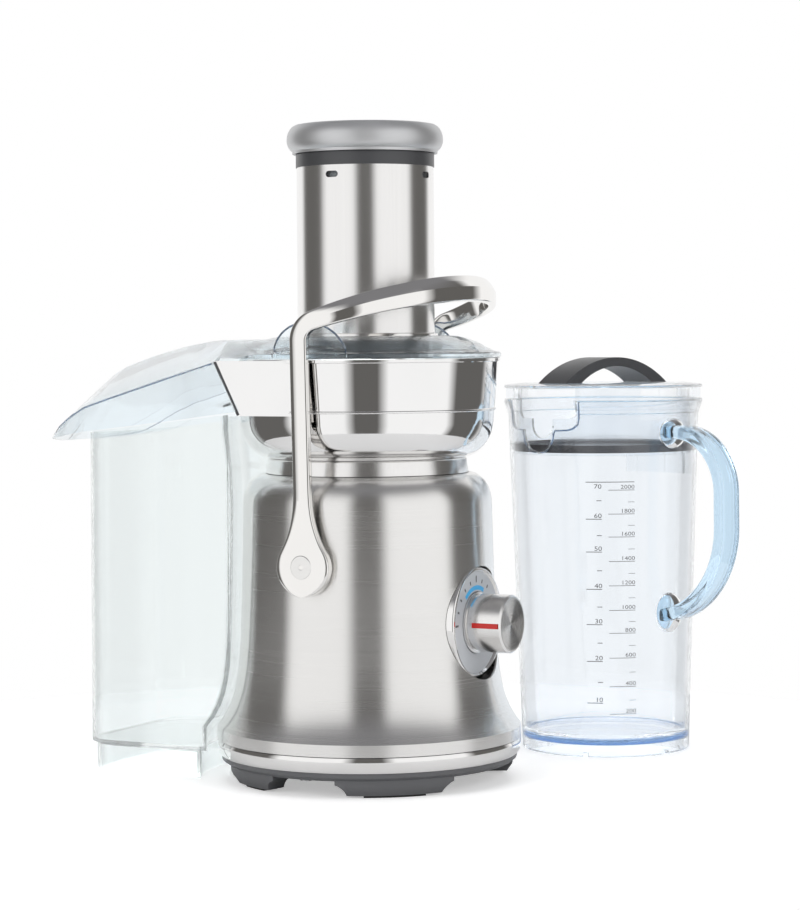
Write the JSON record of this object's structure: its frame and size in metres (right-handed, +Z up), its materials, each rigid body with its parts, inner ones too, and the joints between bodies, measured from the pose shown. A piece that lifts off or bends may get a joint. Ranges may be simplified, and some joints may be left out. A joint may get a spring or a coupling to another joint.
{
  "type": "centrifugal juicer",
  "caption": "Countertop centrifugal juicer with brushed steel base, speed dial, locking arm, steel bowl, clear cover and chute, pulp bin and lidded juice jug.",
  "frame": {"origin": "where the motor axis meets the table top", "axes": "+Z up along the motor axis; -Y is the front, where the speed dial faces; +Y is the rear, where the pulp bin stands; the juice nozzle points to the +X side"},
  "size_m": [0.3726, 0.452, 0.4485],
  "materials": {
    "grey_plastic": "satin",
    "black_plastic": "matte",
    "rubber": "matte",
    "seal_grey": "satin",
    "chrome": "polished",
    "brushed_steel": "brushed",
    "polished_steel": "polished",
    "plain_steel": "satin",
    "mesh_steel": "etched mesh",
    "lamination_steel": "satin",
    "cast_alloy": "cast",
    "polished_alloy": "polished",
    "copper": "lacquered wire",
    "brass": "satin",
    "board_green": "satin",
    "dial_grey": "satin",
    "silver_plastic": "metallised",
    "marker_red": "gloss",
    "clear_blue": "clear moulded plastic",
    "clear_plastic": "clear moulded plastic"
  },
  "bodies": {
    "base": {"base_tray": "grey_plastic", "foot_pads": "rubber", "base_screws": "plain_steel", "trim_ring": "chrome", "body_shell": "brushed_steel", "neck_collar": "brushed_steel", "cord_gland": "rubber", "motor_frame": "cast_alloy", "motor_dampers": "rubber", "stator": "lamination_steel", "stator_windings": "copper", "brush_holders": "brass", "bearing_lower": "plain_steel", "bearing_upper": "plain_steel", "seal_plate": "cast_alloy", "shaft_seal": "rubber", "control_board": "board_green", "rotary_switch": "black_plastic", "dial_bezel": "chrome", "dial_plate": "dial_grey", "pivot_pins": "plain_steel", "bowl_gasket": "rubber", "filter_bowl": "polished_steel", "juice_spout": "polished_steel", "juicer_cover": "clear_blue", "feed_tube": "clear_blue", "chute_sleeve": "brushed_steel", "chute_ring": "grey_plastic", "chute_foot_ring": "chrome"},
    "knob": {"knob_spindle": "plain_steel", "speed_knob": "brushed_steel", "knob_marker": "marker_red"},
    "arm": {"locking_arm": "polished_alloy", "pivot_bushes": "black_plastic", "pivot_caps": "brushed_steel"},
    "rotor": {"motor_shaft": "plain_steel", "rotor_core": "lamination_steel", "commutator": "copper", "cooling_fan": "black_plastic", "drive_coupling": "black_plastic", "basket_hub": "grey_plastic", "filter_basket": "mesh_steel", "basket_rim": "grey_plastic", "grater_disc": "mesh_steel"},
    "pusher": {"pusher_body": "grey_plastic", "pusher_cap": "silver_plastic"},
    "bin": {"pulp_bin": "clear_plastic"},
    "jug": {"jug_body": "clear_plastic", "jug_handle": "clear_blue"},
    "jug_lid": {"jug_lid": "clear_plastic", "lid_seal": "seal_grey", "lid_handle": "grey_plastic", "froth_separator": "clear_plastic"}
  },
  "joints": [
    {"name": "arm_swing", "type": "hinge", "parent": "base", "child": "arm", "pos_m": [0, -0.003, 0.151], "axis": [1, 0, 0], "range_deg": [0, 90]},
    {"name": "knob_turn", "type": "hinge", "parent": "base", "child": "knob", "pos_m": [0, -0.09, 0.109], "axis": [0, 1, 0], "range_deg": [0, 90]},
    {"name": "pusher_slide", "type": "slide", "parent": "base", "child": "pusher", "axis": [0, 0, 1], "range_m": [0, 0.19]},
    {"name": "rotor_spin", "type": "hinge", "parent": "base", "child": "rotor", "pos_m": [0, 0, 0.1], "axis": [0, 0, 1], "continuous": true},
    {"name": "bin_slide", "type": "slide", "parent": "base", "child": "bin", "axis": [0, 1, 0], "range_m": [0, 0.022]},
    {"name": "jug_slide", "type": "slide", "parent": "base", "child": "jug", "axis": [-0.1077, 0.9942, 0], "range_m": [0, 0.1012]},
    {"name": "lid_lift", "type": "slide", "parent": "jug", "child": "jug_lid", "axis": [0, 0, 1], "range_m": [0, 0.09]}
  ]
}
